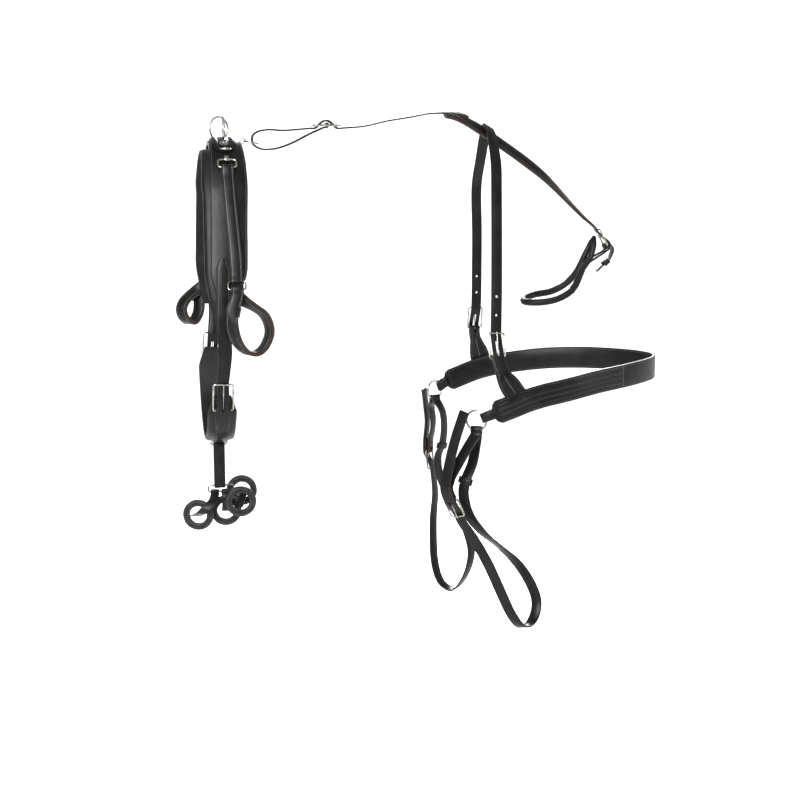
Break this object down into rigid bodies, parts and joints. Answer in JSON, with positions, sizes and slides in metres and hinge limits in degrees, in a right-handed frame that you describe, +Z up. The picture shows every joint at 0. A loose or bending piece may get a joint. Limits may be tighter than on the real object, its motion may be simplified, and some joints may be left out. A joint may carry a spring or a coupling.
{
  "type": "driving harness",
  "caption": "Black leather pony driving harness with nickel fittings: saddle, girth, tugs, backstrap, crupper, hip strap, breeching and hanging holdback straps.",
  "frame": {"origin": "On the ridge of the horse's back, under the middle of the saddle", "axes": "+X from the head to the tail, +Y to the far (off) side, +Z up, as the harness sits on a horse"},
  "size_m": [0.8483, 0.3795, 0.9011],
  "materials": {
    "black_leather": "smooth, waxed, slight sheen",
    "stuffed_leather": "soft, stuffed",
    "nickel": "bright nickel plate",
    "tree_steel": "plain, mostly hidden",
    "black_rubber": "matt"
  },
  "bodies": {
    "harness": {"backstrap": "black_leather", "backstrap_loop": "black_leather", "breeching": "black_leather", "crupper_buckle": "nickel", "far_billet": "black_leather", "far_dee_clip": "nickel", "far_girth_buckle": "nickel", "far_hip_buckle": "nickel", "far_panel": "stuffed_leather", "far_terret": "nickel", "far_uptug": "black_leather", "girth_body": "stuffed_leather", "girth_staple": "nickel", "girth_strap": "black_leather", "hip_strap": "black_leather", "near_billet": "black_leather", "near_dee_clip": "nickel", "near_girth_buckle": "nickel", "near_hip_buckle": "nickel", "near_panel": "stuffed_leather", "near_terret": "nickel", "near_uptug": "black_leather", "saddle_seat": "black_leather", "saddle_skirt": "black_leather", "saddle_tree": "tree_steel"},
    "near_tug_dee": {"near_tug_dee": "nickel"},
    "far_tug_dee": {"far_tug_dee": "nickel"},
    "near_tug": {"near_tug_strap": "black_leather", "near_tug_ring": "nickel"},
    "far_tug": {"far_tug_strap": "black_leather", "far_tug_ring": "nickel"},
    "near_loop": {"near_tug_loop": "black_leather"},
    "far_loop": {"far_tug_loop": "black_leather"},
    "back_ring": {"back_ring": "nickel"},
    "backstrap_slide": {"backstrap_slide": "nickel"},
    "near_girth_tongue": {"near_girth_tongue": "nickel"},
    "far_girth_tongue": {"far_girth_tongue": "nickel"},
    "near_hip_tongue": {"near_hip_tongue": "nickel"},
    "far_hip_tongue": {"far_hip_tongue": "nickel"},
    "near_holdback_tongue": {"near_holdback_tongue": "nickel"},
    "far_holdback_tongue": {"far_holdback_tongue": "nickel"},
    "crupper_tongue": {"crupper_tongue": "nickel"},
    "crupper": {"crupper_dock": "stuffed_leather"},
    "crupper_keeper": {"crupper_keeper": "black_leather"},
    "near_breeching_ring": {"near_breeching_ring": "nickel"},
    "far_breeching_ring": {"far_breeching_ring": "nickel"},
    "near_holdback": {"near_holdback": "black_leather", "near_holdback_buckle": "nickel"},
    "far_holdback": {"far_holdback": "black_leather", "far_holdback_buckle": "nickel"},
    "near_holdback_keeper": {"near_holdback_keeper": "black_leather"},
    "far_holdback_keeper": {"far_holdback_keeper": "black_leather"},
    "drop_strap": {"drop_strap": "black_leather"},
    "ring_straps": {"drop_link": "nickel", "rubber_strap_a": "black_leather", "rubber_strap_b": "black_leather"},
    "rubber_ring_a": {"rubber_ring_a": "black_rubber"},
    "rubber_ring_b": {"rubber_ring_b": "black_rubber"},
    "rubber_ring_c": {"rubber_ring_c": "black_rubber"},
    "rubber_ring_d": {"rubber_ring_d": "black_rubber"}
  },
  "joints": [
    {"name": "near_dee_swing", "type": "hinge", "parent": "harness", "child": "near_tug_dee", "pos_m": [0.006, -0.07036, -0.01699], "axis": [-1, 0, 0], "range_deg": [0, 25]},
    {"name": "near_tug_swing", "type": "hinge", "parent": "near_tug_dee", "child": "near_tug", "pos_m": [0.006, -0.07977, -0.02867], "axis": [-1, 0, 0], "range_deg": [0, 35]},
    {"name": "near_loop_swing", "type": "hinge", "parent": "near_tug", "child": "near_loop", "pos_m": [0.01233, -0.14132, -0.22036], "axis": [-1, 0, 0], "range_deg": [0, 35]},
    {"name": "near_ring_turn", "type": "hinge", "parent": "harness", "child": "near_breeching_ring", "pos_m": [0.41761, -0.16461, -0.438], "axis": [-0.3522, 0.2033, 0.9136], "range_deg": [-4, 4]},
    {"name": "near_holdback_swing", "type": "hinge", "parent": "near_breeching_ring", "child": "near_holdback", "pos_m": [0.404, -0.15675, -0.4622], "axis": [0.866, -0.5, 0], "range_deg": [-10, 10]},
    {"name": "far_dee_swing", "type": "hinge", "parent": "harness", "child": "far_tug_dee", "pos_m": [0.006, 0.07036, -0.01699], "axis": [1, 0, 0], "range_deg": [0, 25]},
    {"name": "far_tug_swing", "type": "hinge", "parent": "far_tug_dee", "child": "far_tug", "pos_m": [0.006, 0.07977, -0.02867], "axis": [1, 0, 0], "range_deg": [0, 35]},
    {"name": "far_loop_swing", "type": "hinge", "parent": "far_tug", "child": "far_loop", "pos_m": [-0.01667, 0.14132, -0.22036], "axis": [1, 0, 0], "range_deg": [0, 35]},
    {"name": "far_ring_turn", "type": "hinge", "parent": "harness", "child": "far_breeching_ring", "pos_m": [0.41761, 0.16461, -0.438], "axis": [-0.3522, -0.2033, 0.9136], "range_deg": [-4, 4]},
    {"name": "far_holdback_swing", "type": "hinge", "parent": "far_breeching_ring", "child": "far_holdback", "pos_m": [0.404, 0.15675, -0.4622], "axis": [0.866, 0.5, 0], "range_deg": [-10, 10]},
    {"name": "near_girth_tongue_turn", "type": "hinge", "parent": "harness", "child": "near_girth_tongue", "pos_m": [-0.01105, -0.10631, -0.42151], "axis": [1, -0.0028, 0.0058], "range_deg": [0, 8]},
    {"name": "far_girth_tongue_turn", "type": "hinge", "parent": "harness", "child": "far_girth_tongue", "pos_m": [-0.01063, 0.12281, -0.36958], "axis": [-0.9989, 0.0092, 0.0455], "range_deg": [0, 8]},
    {"name": "near_hip_tongue_turn", "type": "hinge", "parent": "harness", "child": "near_hip_tongue", "pos_m": [0.43581, -0.16982, -0.33816], "axis": [0.9906, 0.0279, 0.1336], "range_deg": [0, 8]},
    {"name": "far_hip_tongue_turn", "type": "hinge", "parent": "harness", "child": "far_hip_tongue", "pos_m": [0.48282, 0.17014, -0.33225], "axis": [-0.9992, 0.0071, -0.04], "range_deg": [0, 8]},
    {"name": "near_holdback_tongue_turn", "type": "hinge", "parent": "near_holdback", "child": "near_holdback_tongue", "pos_m": [0.35809, -0.16832, -0.57497], "axis": [-0.6972, 0.6742, -0.2438], "range_deg": [0, 8]},
    {"name": "far_holdback_tongue_turn", "type": "hinge", "parent": "far_holdback", "child": "far_holdback_tongue", "pos_m": [0.39771, 0.17597, -0.5641], "axis": [0.6388, 0.7688, -0.0293], "range_deg": [0, 8]},
    {"name": "crupper_tongue_turn", "type": "hinge", "parent": "harness", "child": "crupper_tongue", "pos_m": [0.67671, 0, -0.16942], "axis": [0, 1, 0], "range_deg": [0, 8]},
    {"name": "back_ring_turn", "type": "hinge", "parent": "harness", "child": "back_ring", "pos_m": [0.0405, 0, 0.0125], "axis": [0, 1, 0], "range_deg": [-8, 3]},
    {"name": "slide_rock", "type": "hinge", "parent": "harness", "child": "backstrap_slide", "pos_m": [0.1788, 0, 0.0385], "axis": [0, 1, 0], "range_deg": [-3, 3]},
    {"name": "crupper_swing", "type": "hinge", "parent": "harness", "child": "crupper", "pos_m": [0.67671, 0, -0.16942], "axis": [0, 1, 0], "range_deg": [0, 8]},
    {"name": "drop_swing", "type": "hinge", "parent": "harness", "child": "drop_strap", "pos_m": [-0.011, 0, -0.4998], "axis": [1, 0, 0], "range_deg": [-20, 20]},
    {"name": "link_swing", "type": "hinge", "parent": "drop_strap", "child": "ring_straps", "pos_m": [-0.011, 0, -0.5718], "axis": [1, 0, 0], "range_deg": [-20, 20]},
    {"name": "rubber_ring_a_spin", "type": "hinge", "parent": "ring_straps", "child": "rubber_ring_a", "pos_m": [-0.0498, -0.014, -0.6188], "axis": [0.3011, 0.9536, 0], "continuous": true},
    {"name": "rubber_ring_b_spin", "type": "hinge", "parent": "ring_straps", "child": "rubber_ring_b", "pos_m": [0.0278, 0.014, -0.58568], "axis": [0, 1, 0], "continuous": true},
    {"name": "rubber_ring_c_spin", "type": "hinge", "parent": "ring_straps", "child": "rubber_ring_c", "pos_m": [0.023, -0.018, -0.59792], "axis": [0, 1, 0], "continuous": true},
    {"name": "rubber_ring_d_spin", "type": "hinge", "parent": "ring_straps", "child": "rubber_ring_d", "pos_m": [-0.001, 0, -0.61664], "axis": [0, 1, 0], "continuous": true},
    {"name": "near_holdback_keeper_slide", "type": "slide", "parent": "near_holdback", "child": "near_holdback_keeper", "axis": [-0.2994, -0.0364, -0.9534], "range_m": [-0.002, 0.002]},
    {"name": "far_holdback_keeper_slide", "type": "slide", "parent": "far_holdback", "child": "far_holdback_keeper", "axis": [-0.2298, 0.0801, -0.9699], "range_m": [-0.002, 0.002]},
    {"name": "crupper_keeper_slide", "type": "slide", "parent": "harness", "child": "crupper_keeper", "axis": [-0.7362, 0, -0.6767], "range_m": [-0.002, 0.002]}
  ]
}
